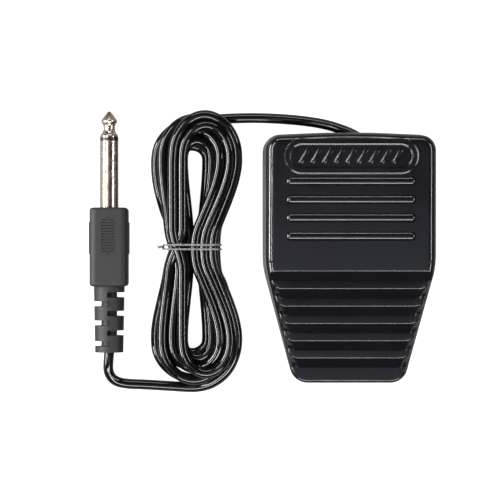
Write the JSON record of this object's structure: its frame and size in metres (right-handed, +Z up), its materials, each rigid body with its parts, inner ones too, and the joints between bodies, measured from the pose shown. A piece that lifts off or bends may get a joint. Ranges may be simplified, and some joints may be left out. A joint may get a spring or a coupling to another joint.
{
  "type": "sustain foot switch pedal",
  "caption": "Low foot switch pedal with a ribbed, stepped toe, a rocking cover on springs, a tied hank of cord and a mono jack plug.",
  "frame": {"origin": "bottom centre of the pedal's own box, on the surface it stands on", "axes": "+Z up, +Y towards the heel where the cord leaves, -Y the ribbed toe, +X to the right"},
  "size_m": [0.119, 0.0976, 0.0268],
  "materials": {
    "gloss_black_abs": "glossy moulded ABS",
    "satin_black_abs": "satin moulded ABS",
    "black_rubber": "matt",
    "bright_steel": "zinc plated",
    "switch_case_plastic": "satin",
    "plunger_plastic": "satin",
    "terminal_brass": "plated",
    "wire_white": "satin PVC",
    "satin_black_plastic": "satin",
    "cord_pvc": "glossy PVC jacket",
    "tie_wire": "clear grey coated tie wire",
    "nickel_plate": "polished nickel",
    "insulator_black": "gloss",
    "moulded_grip": "fine matt texture"
  },
  "bodies": {
    "base": {"base_tray": "satin_black_abs", "rubber_foot_heel_left": "black_rubber", "rubber_foot_heel_right": "black_rubber", "rubber_foot_toe_left": "black_rubber", "rubber_foot_toe_right": "black_rubber", "hinge_pin": "bright_steel", "hinge_pin_clips": "bright_steel", "return_spring_left": "bright_steel", "return_spring_right": "bright_steel", "stop_pads": "black_rubber", "microswitch_case": "switch_case_plastic", "microswitch_pin": "bright_steel", "microswitch_terminals": "terminal_brass", "switch_screws": "bright_steel", "switch_nuts": "bright_steel", "switch_wire_signal": "wire_white", "switch_wire_ground": "satin_black_plastic", "cord_clamp": "satin_black_plastic", "clamp_screws": "bright_steel", "cord_grommet": "black_rubber", "cord_tail_pedal": "cord_pvc", "cord_hank": "cord_pvc", "hank_tie": "tie_wire", "cord_tail_plug": "cord_pvc", "plug_tip": "nickel_plate", "plug_insulator": "insulator_black", "plug_sleeve": "nickel_plate", "plug_handle": "moulded_grip", "plug_boot": "moulded_grip"},
    "pedal": {"pedal_cover": "gloss_black_abs"},
    "switch_lever": {"microswitch_lever": "bright_steel"},
    "switch_plunger": {"microswitch_plunger": "plunger_plastic"}
  },
  "joints": [
    {"name": "pedal_press", "type": "hinge", "parent": "base", "child": "pedal", "pos_m": [0, -0.0292, 0.0062], "axis": [-1, 0, 0], "range_deg": [0, 3], "stiffness_Nm_per_rad": 5, "springref_deg": -4.01, "deforming": ["return_spring_left", "return_spring_right"]},
    {"name": "lever_swing", "type": "hinge", "parent": "base", "child": "switch_lever", "pos_m": [-0.008, 0.0114, 0.01775], "axis": [0, 1, 0], "range_deg": [0, 7.4]},
    {"name": "plunger_travel", "type": "slide", "parent": "base", "child": "switch_plunger", "axis": [0, 0, -1], "range_m": [0, 0.0006]}
  ],
  "couplings": [
    {"joint": "lever_swing", "follows": "pedal_press", "ratio": 2.45},
    {"joint": "plunger_travel", "follows": "pedal_press", "m_per_rad": 0.01117}
  ]
}
